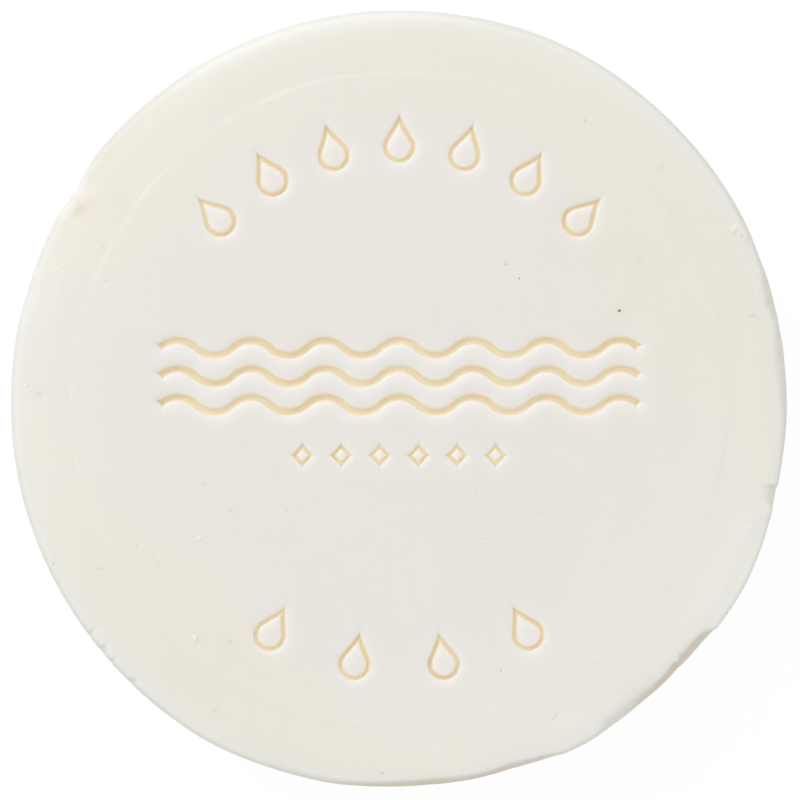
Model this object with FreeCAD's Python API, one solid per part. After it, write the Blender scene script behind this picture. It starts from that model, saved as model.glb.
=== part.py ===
import FreeCAD, Part
import math
import os

from FreeCAD import Vector

# A shaving soap puck: one cake of hard milled soap, pressed in a ring between two dies.
# Millimetres. The puck stands on its underside, centred on the origin, and +Z is up.
# The upper face carries a shallow pressed pattern: an arch of droplets, a band of waves with a
# row of small lozenges under it, and a lower arch of droplets. +Y points to the top of the pattern.

# The cake.
PUCK_DIAMETER = 80.0
PUCK_THICKNESS = 19.0
TOP_EDGE_RADIUS = 1.3  # the rounding where the upper die met the ring
BOTTOM_EDGE_RADIUS = 1.0
ROLL_WIDTH = 4.4  # how far inside the wall the upper face starts to fall away
ROLL_RADIUS = 22.0  # the radius of that fall in section

# The disc left by the upper die's plate, a little proud of the rim band round it.
RIM_BAND = 6.45
PLATE_STEP = 0.05

# Grooves: width at the face, width at the floor, and depth.
WIDE_GROOVE = (0.93, 0.34, 0.55)
THIN_GROOVE = (0.57, 0.20, 0.42)
FINE_GROOVE = (0.45, 0.16, 0.32)
CUT_RISE = 0.5  # how far the cutting tool stands above the face

# Droplets, standing on two arches round the face's centre.
DROPLET_BORDER = 4.4  # from the plate's edge in to the droplets' outer ends
DROPLET_HEIGHT = 5.0
DROPLET_WIDTH = 3.4
UPPER_DROPLETS = 7
UPPER_PITCH_DEG = 15.0
LOWER_DROPLETS = 4
LOWER_PITCH_DEG = 19.2

# The band of waves across the middle.
WAVE_BORDER = 9.0  # from the plate's edge in to the ends of the waves
WAVE_LINES = 3
WAVE_LINE_PITCH = 2.9
WAVE_HALVES = 13  # half waves along each line, an odd count so that both ends match
WAVE_RISE = 0.75  # how far a crest stands from the middle of its line
WAVE_CENTRE_Y = 2.4

# The row of lozenges under the waves.
LOZENGE_COUNT = 6
LOZENGE_PITCH = 3.95
LOZENGE_WIDTH = 2.3
LOZENGE_HEIGHT = 2.5
LOZENGE_DROP = 5.2  # from the lowest wave line down to the middle of the row

# Worked out from the sizes above.
PUCK_RADIUS = PUCK_DIAMETER / 2
PLATE_RADIUS = PUCK_RADIUS - RIM_BAND
BAND_Z = PUCK_THICKNESS - PLATE_STEP
DROPLET_OUTER = PLATE_RADIUS - DROPLET_BORDER
WAVE_LENGTH = 2 * (PLATE_RADIUS - WAVE_BORDER)


def face_point(x, y):
    """A point on the upper face."""
    return Vector(x, y, PUCK_THICKNESS)


def cake():
    """The plain cake: its section turned about the Z axis, with both edges rounded."""
    roll_start = PUCK_RADIUS - ROLL_WIDTH
    middle = ROLL_WIDTH / 2
    wall_top = BAND_Z - roll_fall(ROLL_WIDTH)
    foot = Vector(0, 0, 0)
    wall_foot = Vector(PUCK_RADIUS, 0, 0)
    wall_head = Vector(PUCK_RADIUS, 0, wall_top)
    on_roll = Vector(roll_start + middle, 0, BAND_Z - roll_fall(middle))
    band_outer = Vector(roll_start, 0, BAND_Z)
    band_inner = Vector(PLATE_RADIUS + PLATE_STEP, 0, BAND_Z)
    plate_edge = Vector(PLATE_RADIUS, 0, PUCK_THICKNESS)
    centre = Vector(0, 0, PUCK_THICKNESS)
    section = Part.Wire(
        [
            Part.LineSegment(foot, wall_foot).toShape(),
            Part.LineSegment(wall_foot, wall_head).toShape(),
            Part.Arc(wall_head, on_roll, band_outer).toShape(),
            Part.LineSegment(band_outer, band_inner).toShape(),
            Part.LineSegment(band_inner, plate_edge).toShape(),
            Part.LineSegment(plate_edge, centre).toShape(),
            Part.LineSegment(centre, foot).toShape(),
        ]
    )
    turned = Part.Face(section).revolve(Vector(0, 0, 0), Vector(0, 0, 1), 360)
    rounded = turned.makeFillet(TOP_EDGE_RADIUS, [rim_edge(turned, wall_top)])
    return rounded.makeFillet(BOTTOM_EDGE_RADIUS, [rim_edge(rounded, 0)])


def roll_fall(distance):
    """How far the upper face has fallen at a distance past the start of its roll."""
    return ROLL_RADIUS - math.sqrt(ROLL_RADIUS**2 - distance**2)


def rim_edge(solid, height):
    """The circular edge of the solid at the wall's radius and this height."""
    for edge in solid.Edges:
        curve = edge.Curve
        round_edge = isinstance(curve, Part.Circle) and abs(curve.Radius - PUCK_RADIUS) < 1e-6
        if round_edge and abs(curve.Center.z - height) < 1e-6:
            return edge
    raise ValueError(f"the cake has no rim at z = {height}")


def groove(path, section):
    """The tool for one stroke: a tapered section swept along a path on the upper face."""
    width, floor, depth = section
    head = width + (width - floor) * CUT_RISE / depth
    start = path.OrderedEdges[0]
    origin = start.valueAt(start.FirstParameter)
    along = start.tangentAt(start.FirstParameter)
    if start.Orientation == "Reversed":
        origin = start.valueAt(start.LastParameter)
        along = start.tangentAt(start.LastParameter) * -1
    across = Vector(0, 0, 1).cross(along)
    corners = [(-head / 2, CUT_RISE), (head / 2, CUT_RISE), (floor / 2, -depth), (-floor / 2, -depth)]
    points = [origin + across * side + Vector(0, 0, height) for side, height in corners]
    sweep = Part.BRepOffsetAPI.MakePipeShell(path)
    sweep.setBiNormalMode(Vector(0, 0, 1))
    sweep.setTransitionMode(1)
    sweep.add(Part.makePolygon(points + points[:1]), False, False)
    sweep.build()
    sweep.makeSolid()
    return sweep.shape()


def droplet_path(section):
    """A droplet's outline, tip up the Y axis, with the middle of its height at the origin."""
    width = section[0]
    belly = (DROPLET_WIDTH - width) / 2
    # The mitred tip reaches past its centreline by half the width over the sine of its half angle.
    centreline = DROPLET_HEIGHT - width / 2 - belly
    slope = belly / centreline
    for _ in range(6):
        tip_to_belly = centreline - width / 2 / slope
        slope = belly / tip_to_belly
    base = -DROPLET_HEIGHT / 2 + width / 2 + belly
    contact = math.asin(slope)
    touch_x = belly * math.cos(contact)
    touch_y = base + belly * math.sin(contact)
    foot = Vector(0, base - belly, 0)
    left = Vector(-belly, base, 0)
    right = Vector(belly, base, 0)
    left_touch = Vector(-touch_x, touch_y, 0)
    right_touch = Vector(touch_x, touch_y, 0)
    tip = Vector(0, base + tip_to_belly, 0)
    return Part.Wire(
        [
            Part.Arc(foot, right, right_touch).toShape(),
            Part.LineSegment(right_touch, tip).toShape(),
            Part.LineSegment(tip, left_touch).toShape(),
            Part.Arc(left_touch, left, foot).toShape(),
        ]
    )


def arch_of_droplets(count, pitch_deg, middle_deg, turned_deg):
    """Droplet tools on an arch, each standing along its own radius."""
    middle_radius = DROPLET_OUTER - DROPLET_HEIGHT / 2
    tools = []
    for index in range(count):
        bearing = middle_deg + (index - (count - 1) / 2) * pitch_deg
        angle = math.radians(bearing)
        place = face_point(middle_radius * math.cos(angle), middle_radius * math.sin(angle))
        path = droplet_path(THIN_GROOVE)
        path.rotate(Vector(0, 0, 0), Vector(0, 0, 1), bearing - 90 + turned_deg)
        path.translate(place)
        tools.append(groove(path, THIN_GROOVE))
    return tools


def wave_tools():
    """The wave lines: each a chain of equal arcs, crest and trough in turn."""
    half = WAVE_LENGTH / WAVE_HALVES
    tools = []
    for line in range(WAVE_LINES):
        y = WAVE_CENTRE_Y + (line - (WAVE_LINES - 1) / 2) * WAVE_LINE_PITCH
        edges = []
        for index in range(WAVE_HALVES):
            x = -WAVE_LENGTH / 2 + index * half
            crest = WAVE_RISE if index % 2 == 0 else -WAVE_RISE
            arc = Part.Arc(face_point(x, y), face_point(x + half / 2, y + crest), face_point(x + half, y))
            edges.append(arc.toShape())
        tools.append(groove(Part.Wire(edges), WIDE_GROOVE))
    return tools


def lozenge_tools():
    """The row of lozenges. Each path starts halfway along a side, so that all corners are mitred."""
    row_y = WAVE_CENTRE_Y - (WAVE_LINES - 1) / 2 * WAVE_LINE_PITCH - LOZENGE_DROP
    stretch = FINE_GROOVE[0] / 2 * math.hypot(1 / LOZENGE_WIDTH, 1 / LOZENGE_HEIGHT)
    half_width = LOZENGE_WIDTH * (0.5 - stretch)
    half_height = LOZENGE_HEIGHT * (0.5 - stretch)
    tools = []
    for index in range(LOZENGE_COUNT):
        x = (index - (LOZENGE_COUNT - 1) / 2) * LOZENGE_PITCH
        corners = [
            face_point(x + half_width / 2, row_y - half_height / 2),
            face_point(x + half_width, row_y),
            face_point(x, row_y + half_height),
            face_point(x - half_width, row_y),
            face_point(x, row_y - half_height),
        ]
        tools.append(groove(Part.makePolygon(corners + corners[:1]), FINE_GROOVE))
    return tools


def soap_puck():
    """The cake with its pattern pressed in."""
    tools = arch_of_droplets(UPPER_DROPLETS, UPPER_PITCH_DEG, 90, 0)
    tools += arch_of_droplets(LOWER_DROPLETS, LOWER_PITCH_DEG, 270, 180)
    tools += wave_tools()
    tools += lozenge_tools()
    pressed = cake().cut(tools)
    return pressed.removeSplitter()


os.makedirs("parts", exist_ok=True)
puck = soap_puck()
puck.exportStep("parts/soap_puck.step")
print("solids", len(puck.Solids), "valid", puck.isValid(), "volume mm3", round(puck.Volume, 1))
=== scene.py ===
"""A puck of hard milled shaving soap on a plain sweep, lit by one soft lamp and a pale sky.

Lengths are millimetres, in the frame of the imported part, until a mesh or a lamp is made: the
puck stands on z = 0, centred on the origin, and +Y points to the top of its pressed pattern.
Bearings are degrees round the puck, from +X towards +Y. The soap's surface is drawn as a flat
layout that is folded over the edges: a point of the layout is as far from the origin as a walk
on the surface is, from the middle of the upper face over the rounded edge and down the wall.
"""

import logging
import math
import random
from collections.abc import Callable
from dataclasses import dataclass, field
from enum import Enum
from functools import partial

import bmesh
import bpy
import numpy as np
from mathutils import Matrix, Vector, noise
from mathutils.geometry import delaunay_2d_cdt


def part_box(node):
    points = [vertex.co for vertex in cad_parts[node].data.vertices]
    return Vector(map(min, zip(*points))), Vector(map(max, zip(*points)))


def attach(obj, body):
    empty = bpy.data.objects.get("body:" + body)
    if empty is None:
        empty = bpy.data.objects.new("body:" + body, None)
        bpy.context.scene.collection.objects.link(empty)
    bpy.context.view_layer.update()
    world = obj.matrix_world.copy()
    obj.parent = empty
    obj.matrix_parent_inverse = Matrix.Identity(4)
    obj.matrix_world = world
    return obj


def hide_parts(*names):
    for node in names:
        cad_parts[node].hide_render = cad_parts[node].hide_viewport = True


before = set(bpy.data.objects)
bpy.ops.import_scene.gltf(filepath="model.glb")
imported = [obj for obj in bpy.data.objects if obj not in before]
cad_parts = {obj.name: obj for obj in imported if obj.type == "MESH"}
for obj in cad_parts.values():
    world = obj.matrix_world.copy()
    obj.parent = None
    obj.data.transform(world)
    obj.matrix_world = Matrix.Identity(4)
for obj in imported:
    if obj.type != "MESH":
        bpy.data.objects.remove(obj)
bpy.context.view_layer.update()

LOG = logging.getLogger("soap_puck")
MM = 0.001
CENTRED = 1e-6  # a stroke's two edges become one row of points where they are this near
NODE = "soap_puck"
BODY = "root"
SOAP_IOR = 1.45

Array = np.ndarray
Pair = tuple[float, float]
Socket = bpy.types.NodeSocket
Sockets = dict[str, Socket]
Adder = Callable[..., Socket]
SOFT_STEP = {"interpolation_type": "SMOOTHSTEP"}


class Tone(Enum):
    """The colours of the soap and of the studio, as sRGB hex."""

    PLAIN = "EAE6E1"
    CREAM = "EBE7DE"
    # The next tone is dried white soap, and where it lies on the lamp's side also a painted highlight.
    POWDER_AND_HIGHLIGHT = "F4F4F0"
    # The next tone is the pale line of the plate's edge, partly a painted highlight.
    SCORED_HIGHLIGHT = "F3EDE4"
    SHOULDER = "E9E8E6"
    RIM = "E8E8E2"
    # The next tone is a painted glow: the amber of light scattered in the shaded grooves.
    PAINTED_GROOVE_GLOW = "FAEACD"
    # The next tone is warm broken soap, made darker so that it also stands in for painted shade.
    BROKEN_SOAP_AND_SHADE = "E4D8C3"
    SCORCHED = "6A5A4B"
    SINGED = "A58A6C"
    DULL = "A2967F"
    DULL_THIN = "C2B8A4"
    OILY = "EDE0C8"
    OILY_THIN = "F1E8D8"
    PAPER = "FFFFFF"


def linear(tone: Tone) -> tuple[float, float, float, float]:
    """Turns a tone's sRGB hex into linear colour.

    Args:
        tone: the colour.

    Returns:
        Linear red, green, blue and an alpha of 1.
    """
    channels = [int(tone.value[start : start + 2], 16) / 255 for start in (0, 2, 4)]
    curved = [c / 12.92 if c <= 0.04045 else ((c + 0.055) / 1.055) ** 2.4 for c in channels]
    return (*curved, 1.0)


def add_node(
    tree: bpy.types.NodeTree, kind: str, inputs: dict, out: int | str = 0, **settings: object
) -> Socket | None:
    """Adds a shader node with its settings and links.

    Args:
        tree: the tree that gets the node.
        kind: Blender's name for the node's type, without the ShaderNode that it starts with.
        inputs: for each input, by name or place, a value or the output socket that feeds it.
        out: the output that is asked for, by name or place.
        **settings: the node's own properties.

    Returns:
        That output, if the node has any.
    """
    node = tree.nodes.new(f"ShaderNode{kind}")
    for name, value in settings.items():
        setattr(node, name, value)
    for name, value in inputs.items():
        if isinstance(value, Socket):
            tree.links.new(value, node.inputs[name])
        else:
            node.inputs[name].default_value = value
    return node.outputs[out] if node.outputs else None


def start_tree(owner: bpy.types.Material | bpy.types.World) -> Adder:
    """Clears the node tree of a material or a world.

    Args:
        owner: the material or the world.

    Returns:
        add_node for that tree.
    """
    owner.use_nodes = True
    owner.node_tree.nodes.clear()
    return partial(add_node, owner.node_tree)


def end_in_soap(add: Adder, inputs: dict, height: Socket, strength: float, rise_mm: float) -> None:
    """Ends a tree in soap's shader.

    Args:
        add: adds a node to the tree.
        inputs: what the shader gets besides soap's index of refraction and the relief.
        height: the relief, from 0 to 1.
        strength: how much of it shows.
        rise_mm: how high it stands.
    """
    relief = {"Height": height, "Strength": strength, "Distance": rise_mm * MM}
    inputs = {**inputs, "IOR": SOAP_IOR, "Normal": add("Bump", relief)}
    add("OutputMaterial", {"Surface": add("BsdfPrincipled", inputs, subsurface_method="RANDOM_WALK")})


def rows(kind: type, *values: tuple) -> tuple:
    """One thing of a kind for each row of its values."""
    return tuple(kind(*value) for value in values)


def put(name: str, data: bpy.types.ID) -> bpy.types.Object:
    """Puts a mesh, a lamp or a camera in the scene as an object.

    Args:
        name: the object's name.
        data: the mesh, lamp or camera.

    Returns:
        The object.
    """
    thing = bpy.data.objects.new(name, data)
    bpy.context.scene.collection.objects.link(thing)
    return thing


def put_soap(mesh: bpy.types.Mesh, finish: bpy.types.Material) -> bpy.types.Object:
    """Smooths and dresses a mesh of soap, and puts it in the scene under its own name.

    Args:
        mesh: the mesh.
        finish: its material.

    Returns:
        The object.
    """
    mesh.polygons.foreach_set("use_smooth", [True] * len(mesh.polygons))
    mesh.materials.append(finish)
    return put(mesh.name, mesh)


def lumps(points: Array, size: float, seed: float) -> Array:
    """Smooth noise from about -1 to 1.

    Args:
        points: rows of x and y, or of x, y and z.
        size: the width of one lump.
        seed: moves the pattern, so that two patterns of one size differ.

    Returns:
        One value for each point.
    """
    shift = Vector((seed * 17.3, seed * 31.7, seed * 5.9))
    return np.array([noise.noise(Vector(point).to_3d() / size + shift) for point in points])


def smooth(value: Array) -> Array:
    """A ramp from 0 to 1 with soft ends, for values from 0 to 1."""
    held = np.clip(value, 0.0, 1.0)
    return held * held * (3 - 2 * held)


def evenly(first: float, last: float, pitch: float) -> Array:
    """Values from first to last, both included, about pitch apart."""
    return np.linspace(first, last, max(2, round(abs(last - first) / pitch) + 1))


def around(radius: float | Array, angle: Array) -> Array:
    """Points at a radius and at angles in radians."""
    return np.column_stack([radius * np.cos(angle), radius * np.sin(angle)])


def circle(count: int, shift: float) -> Array:
    """Angles evenly round a circle, moved on by a share of a step."""
    return (np.arange(count) + shift) * 2 * math.pi / count


def loop(count: int) -> Array:
    """Points evenly round a circle of radius 1, half a step on where the count is odd."""
    return around(1.0, circle(count, 0.5 * (count % 2)))


def polar(points: Array) -> tuple[Array, Array]:
    """Each point's distance from the origin, and its bearing from 0 to 360."""
    return np.hypot(*points.T), np.degrees(np.arctan2(points[:, 1], points[:, 0])) % 360


def turned(points: Array, angle: float) -> Array:
    """Points turned about the origin by an angle in radians."""
    cos, sin = math.cos(angle), math.sin(angle)
    return np.column_stack([points[:, 0] * cos - points[:, 1] * sin, points[:, 0] * sin + points[:, 1] * cos])


def apart(bearing: Array, middle: float) -> Array:
    """How far bearings lie past a middle one, from -180 to 180."""
    return (bearing - middle + 180) % 360 - 180


# Strokes: what the die presses into the face, and light scratches.


@dataclass(frozen=True)
class Groove:
    """The section of a stroke.

    Attributes:
        width: across the stroke at the face; floor is across its flat bottom.
        dish: how far the face is drawn down at the stroke's edge.
        reach: how far from the edge the face is drawn down at all.
    """

    width: float
    floor: float
    depth: float
    dish: float
    reach: float

    @property
    def wall(self) -> float:
        """The width of one sloping side."""
        return (self.width - self.floor) / 2

    def levels(self) -> list[float]:
        """Distances from the stroke's edge, outwards, at which the mesh follows the stroke."""
        inner = [-self.width / 2, -self.wall, -0.6 * self.wall, -0.25 * self.wall]
        return [*inner, 0.0, *(share * self.reach for share in (0.06, 0.18, 0.38, 0.66, 1.0))]

    def pitch(self, level: float) -> float:
        """How far apart the mesh's points stand along a row at this level."""
        return max(0.11, 0.26 * self.width) * 0.75 + 0.3 * max(level, 0.0)


class Stroke:
    """One mark in the face, along a centreline, with a groove's section.

    A closed mark gives from_line and moved, and an open one gives outside and row instead.
    """

    groove: Groove

    def from_line(self, points: Array) -> Array:
        """The distance from the centreline to each point."""
        raise NotImplementedError

    def moved(self, offset: float, pitch: float) -> Array:
        """Points, a pitch apart, along the centreline after it is moved outwards by offset."""
        raise NotImplementedError

    def outside(self, points: Array) -> Array:
        """The distance from the stroke's edge to each point, negative inside the stroke."""
        return self.from_line(points) - self.groove.width / 2

    def row(self, level: float, pitch: float) -> Array:
        """Points along the stroke's edges after they are moved, or along its centreline.

        Args:
            level: how far from the stroke the edges are moved.
            pitch: how far apart the points are.

        Returns:
            The points.
        """
        shift = self.groove.width / 2 + level
        ways = [0.0] if shift < CENTRED else [shift, -shift]
        return np.concatenate([self.moved(way, pitch) for way in ways])


@dataclass(frozen=True)
class Droplet(Stroke):
    """A droplet's outline: a round belly and two straight sides that meet in a mitred tip.

    Attributes:
        centre: the middle of the belly.
        turn: the direction of the tip, in radians.
        belly: the radius of the belly along the stroke's centreline.
        lean: the sine of half the tip's angle.
    """

    groove: Groove
    centre: Pair
    turn: float
    belly: float
    lean: float

    def from_line(self, points: Array) -> Array:
        """The distance from the centreline to each point.

        Args:
            points: rows of x and y.

        Returns:
            A distance for each point.
        """
        along, across = turned(points - self.centre, -self.turn).T
        across = np.abs(across)
        contact = math.asin(self.lean)
        straight = across * math.cos(contact) + along * math.sin(contact)
        at_side = np.arctan2(along, across) > contact
        return np.abs(np.where(at_side, straight, np.hypot(along, across)) - self.belly)

    def moved(self, offset: float, pitch: float) -> Array:
        """Points along the centreline after it is moved outwards.

        Args:
            offset: how far outwards.
            pitch: how far apart the points are.

        Returns:
            The points, or none where they would crowd.
        """
        radius = self.belly + offset
        if radius <= 2 * pitch:
            return np.zeros((0, 2))
        contact = math.asin(self.lean)
        tip = radius / self.lean
        swing = evenly(contact, -math.pi / 2, pitch / radius)
        side = evenly(0.0, 1.0, pitch / (tip * math.cos(contact)))[1:]
        touch = (radius * math.cos(contact), radius * math.sin(contact))
        across = np.concatenate([radius * np.cos(swing), touch[0] * (1 - side)])
        along = np.concatenate([radius * np.sin(swing), touch[1] + (tip - touch[1]) * side])
        across = np.concatenate([across, -across[1:-1]])
        along = np.concatenate([along, along[1:-1]])
        return turned(np.column_stack([along, across]), self.turn) + self.centre


@dataclass(frozen=True)
class Lozenge(Stroke):
    """A lozenge's outline; half is half its width and height along the stroke's centreline."""

    groove: Groove
    centre: Pair
    half: Pair

    def from_line(self, points: Array) -> Array:
        """The distance from the centreline to each point."""
        (x, y), (wide, high) = np.abs(points - self.centre).T, self.half
        return np.abs((x * high + y * wide - wide * high) / math.hypot(wide, high))

    def moved(self, offset: float, pitch: float) -> Array:
        """Points along the centreline after it is moved outwards.

        Args:
            offset: how far outwards.
            pitch: how far apart the points are.

        Returns:
            The points, or none where they would crowd.
        """
        slant = math.hypot(*self.half)
        reach = self.half[0] * self.half[1] / slant
        if reach + offset < pitch:
            return np.zeros((0, 2))
        scale = (reach + offset) / reach
        corners = np.array([[1, 0], [0, 1], [-1, 0], [0, -1], [1, 0]]) * np.array(self.half) * scale
        share = evenly(0.0, 1.0, pitch / (slant * scale))[:-1, None]
        sides = [start + (end - start) * share for start, end in zip(corners, corners[1:])]
        return np.concatenate(sides) + self.centre


class Arc:
    """A round stretch from one point to the next."""

    def __init__(self, start: Pair, end: Pair, bow: float) -> None:
        """Works out the circle through start and end whose middle bows out to the left by bow.

        Args:
            start: where the arc starts.
            end: where it ends.
            bow: how far its middle bows out.
        """
        chord = np.array(end) - np.array(start)
        half = np.linalg.norm(chord) / 2
        self.radius = (half**2 + bow**2) / (2 * abs(bow))
        self.half_angle = math.asin(min(1.0, half / self.radius))
        self.length = 2 * self.half_angle * self.radius
        self.along = chord / (2 * half)
        self.outward = np.array([-self.along[1], self.along[0]]) * math.copysign(1.0, bow)
        self.centre = (np.array(start) + np.array(end)) / 2 + self.outward * (abs(bow) - self.radius)

    def place(self, angle: Array) -> Array:
        """Points at these angles from the arc's middle."""
        swing = self.outward * np.cos(angle)[:, None] + self.along * np.sin(angle)[:, None]
        return self.centre + self.radius * swing

    def heading(self, angle: Array) -> Array:
        """The direction of travel at these angles from the arc's middle."""
        return self.along * np.cos(angle)[:, None] - self.outward * np.sin(angle)[:, None]


@dataclass(frozen=True)
class ArcLine(Stroke):
    """An open stroke along a chain of arcs, with square ends."""

    groove: Groove
    arcs: tuple[Arc, ...]

    def outside(self, points: Array) -> Array:
        """The distance from the stroke's edge to each point.

        Args:
            points: rows of x and y.

        Returns:
            A distance for each point.
        """
        beside = np.full(len(points), 1e3)
        for arc in self.arcs:
            spoke = points - arc.centre
            angle = np.arctan2(spoke @ arc.along, spoke @ arc.outward)
            near = np.abs(np.hypot(spoke[:, 0], spoke[:, 1]) - arc.radius)
            reached = np.abs(angle) <= arc.half_angle + 1e-6
            beside = np.where(reached, np.minimum(beside, near), beside)
        past = np.full(len(points), -1e3)
        for arc, sign in ((self.arcs[0], -1), (self.arcs[-1], 1)):
            angle = np.array([sign * arc.half_angle])
            from_end = points - arc.place(angle)[0]
            heading = arc.heading(angle)[0]
            beyond = sign * (from_end @ heading)
            sideways = np.abs(from_end[:, 0] * heading[1] - from_end[:, 1] * heading[0])
            beside = np.where((beyond > 0) & (beyond < 3), sideways, beside)
            past = np.maximum(past, beyond)
        side = beside - self.groove.width / 2
        corner = np.hypot(np.maximum(side, 0), np.maximum(past, 0))
        return np.minimum(np.maximum(side, past), 0) + corner

    def row(self, level: float, pitch: float) -> Array:
        """Points along the stroke's edge, round its ends too, or along its centreline.

        Args:
            level: how far outwards.
            pitch: how far apart the points are.

        Returns:
            The points.
        """
        shift = self.groove.width / 2 + level
        line, headings = self._walk(level, pitch)
        if shift < CENTRED:
            return line
        left = np.column_stack([-headings[:, 1], headings[:, 0]])
        across = evenly(-shift, shift, pitch)[1:-1, None]
        ends = [line[at] + left[at] * across for at in (0, -1)]
        return np.concatenate([line + left * shift, line - left * shift, *ends])

    def _walk(self, beyond: float, pitch: float) -> tuple[Array, Array]:
        """Follows the chain of arcs.

        Args:
            beyond: how far the walk goes on, straight, past each end of the chain.
            pitch: how far apart its points are.

        Returns:
            Points along the chain, and the heading at each.
        """
        total = sum(arc.length for arc in self.arcs)
        steps = evenly(-beyond, total + beyond, pitch)
        places = np.zeros((len(steps), 2))
        headings = np.zeros((len(steps), 2))
        passed = 0.0
        for index, arc in enumerate(self.arcs):
            first = -1e3 if index == 0 else passed
            last = 1e3 if index == len(self.arcs) - 1 else passed + arc.length
            here = (steps >= first) & (steps <= last)
            run = steps[here] - passed
            angle = np.clip(run, 0, arc.length) / arc.radius - arc.half_angle
            headings[here] = arc.heading(angle)
            straight = run - np.clip(run, 0, arc.length)
            places[here] = arc.place(angle) + headings[here] * straight[:, None]
            passed += arc.length
        return places, headings


@dataclass(frozen=True)
class PressedPattern:
    """The die's pattern: an arch of droplets, a band of waves, lozenges and a lower arch.

    Attributes:
        wide: the section of the wave lines; thin is the droplets', and fine the lozenges'.
        droplet_outer: the radius of the droplets' outer ends.
        droplet_size: width and height over the stroke, as in lozenge_size.
        upper: an arch's count, pitch, middle bearing, and 1 for tips out or -1 for tips in.
        wave_length: of a line with wave_halves half waves.
        wave_rise: from the middle of a line to a crest.
        wave_rows: the lines' heights up the face; lozenge_y is the lozenges'.
    """

    wide: Groove = Groove(0.93, 0.34, 0.55, 0.17, 1.15)
    thin: Groove = Groove(0.57, 0.20, 0.42, 0.13, 0.85)
    fine: Groove = Groove(0.45, 0.16, 0.32, 0.09, 0.6)
    droplet_outer: float = 29.15
    droplet_size: Pair = (3.4, 5.0)
    upper: tuple[int, float, float, int] = (7, 15.0, 90.0, 1)
    lower: tuple[int, float, float, int] = (4, 19.2, 270.0, -1)
    wave_length: float = 49.1
    wave_halves: int = 13
    wave_rise: float = 0.75
    wave_rows: tuple[float, ...] = (-0.5, 2.4, 5.3)
    lozenge_size: Pair = (2.3, 2.5)
    lozenge_pitch: float = 3.95
    lozenge_count: int = 6
    lozenge_y: float = -5.7

    def strokes(self) -> list[Stroke]:
        """Every stroke of the pattern."""
        return [*self._arch(*self.upper), *self._arch(*self.lower), *self._waves(), *self._lozenges()]

    def _arch(self, count: int, pitch: float, middle: float, tip: int) -> list[Stroke]:
        """Droplets on an arch, as upper and lower describe it.

        Args:
            count: how many.
            pitch: the angle from one to the next.
            middle: the arch's middle bearing.
            tip: 1 for tips out, or -1 for tips in.

        Returns:
            The droplets.
        """
        width = self.thin.width
        belly = (self.droplet_size[0] - width) / 2
        centreline = self.droplet_size[1] - width / 2 - belly
        lean = belly / centreline
        for _ in range(6):
            lean = belly / (centreline - width / 2 / lean)
        base = -self.droplet_size[1] / 2 + width / 2 + belly
        radius = self.droplet_outer - self.droplet_size[1] / 2 + tip * base
        drops = []
        for index in range(count):
            bearing = math.radians(middle + (index - (count - 1) / 2) * pitch)
            centre = (radius * math.cos(bearing), radius * math.sin(bearing))
            turn = bearing if tip > 0 else bearing + math.pi
            drops.append(Droplet(self.thin, centre, turn, belly, lean))
        return drops

    def _waves(self) -> list[Stroke]:
        """The wave lines: each a chain of equal arcs, crest and trough in turn.

        Returns:
            The lines.
        """
        half = self.wave_length / self.wave_halves
        starts = [-self.wave_length / 2 + index * half for index in range(self.wave_halves)]
        spans = [(x, x + half, self.wave_rise * (-1) ** index) for index, x in enumerate(starts)]
        lines = [tuple(Arc((x, y), (end, y), bow) for x, end, bow in spans) for y in self.wave_rows]
        return [ArcLine(self.wide, arcs) for arcs in lines]

    def _lozenges(self) -> list[Stroke]:
        """The row of lozenges.

        Returns:
            The lozenges.
        """
        width, height = self.lozenge_size
        stretch = self.fine.width / 2 * math.hypot(1 / width, 1 / height)
        half = (width * (0.5 - stretch), height * (0.5 - stretch))
        first = -(self.lozenge_count - 1) / 2 * self.lozenge_pitch
        places = [first + index * self.lozenge_pitch for index in range(self.lozenge_count)]
        return [Lozenge(self.fine, (x, self.lozenge_y), half) for x in places]


# The cake's own shape, and what handling has done to it.


@dataclass(frozen=True)
class Lobe:
    """A rise round the rim, which fades to a third in spread degrees to each side."""

    bearing: float
    spread: float
    rise: float


@dataclass(frozen=True)
class Bite:
    """A knock that has broken a flat off the upper edge.

    Attributes:
        first: the bearing where it starts; last is where it ends.
        depth: how far the edge's rounding is cut back, at most.
        lean: how far above the level the flat faces, in degrees.
        deepest: where between first and last it is deepest, from 0 to 1.
        raw: how much of the soap's warm inside shows, from 0 to 1, in a tone darkened as painted shade.
    """

    first: float
    last: float
    depth: float
    lean: float
    deepest: float = 0.5
    raw: float = 1.0

    def past(self, bearing: Array) -> Array:
        """How far bearings lie past its start."""
        return (bearing - self.first + 90) % 360 - 90

    def shape(self, bearing: Array) -> Array:
        """The share of the full depth at each bearing."""
        along = self.past(bearing) / (self.last - self.first)
        return np.clip(np.minimum(along / self.deepest, (1 - along) / (1 - self.deepest)), 0, 1) ** 0.8


@dataclass(frozen=True)
class Patch:
    """A stretch of soap of one look along the puck's rim.

    Attributes:
        spread: how far to each side of its bearing it fades to a third, in degrees.
        start: the radius halfway up its inner border.
        blur: half the width of that border.
        strength: how much of it shows in its middle.
        stop: the radius at which it has faded out again.
    """

    bearing: float
    spread: float
    start: float
    blur: float = 3.0
    strength: float = 1.0
    stop: float = 99.0

    def share(self, bearing: Array, walk: Array) -> Array:
        """How much of the patch shows, from 0 to 1, at bearings and walks from the middle.

        Args:
            bearing: each place's bearing.
            walk: its distance from the middle, along the surface.

        Returns:
            A share for each place.
        """
        rise = smooth((walk - self.start + self.blur) / (2 * self.blur))
        fall = smooth((self.stop - walk) / (2 * self.blur))
        return self.strength * np.exp(-((apart(bearing, self.bearing) / self.spread) ** 4)) * rise * fall


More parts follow.
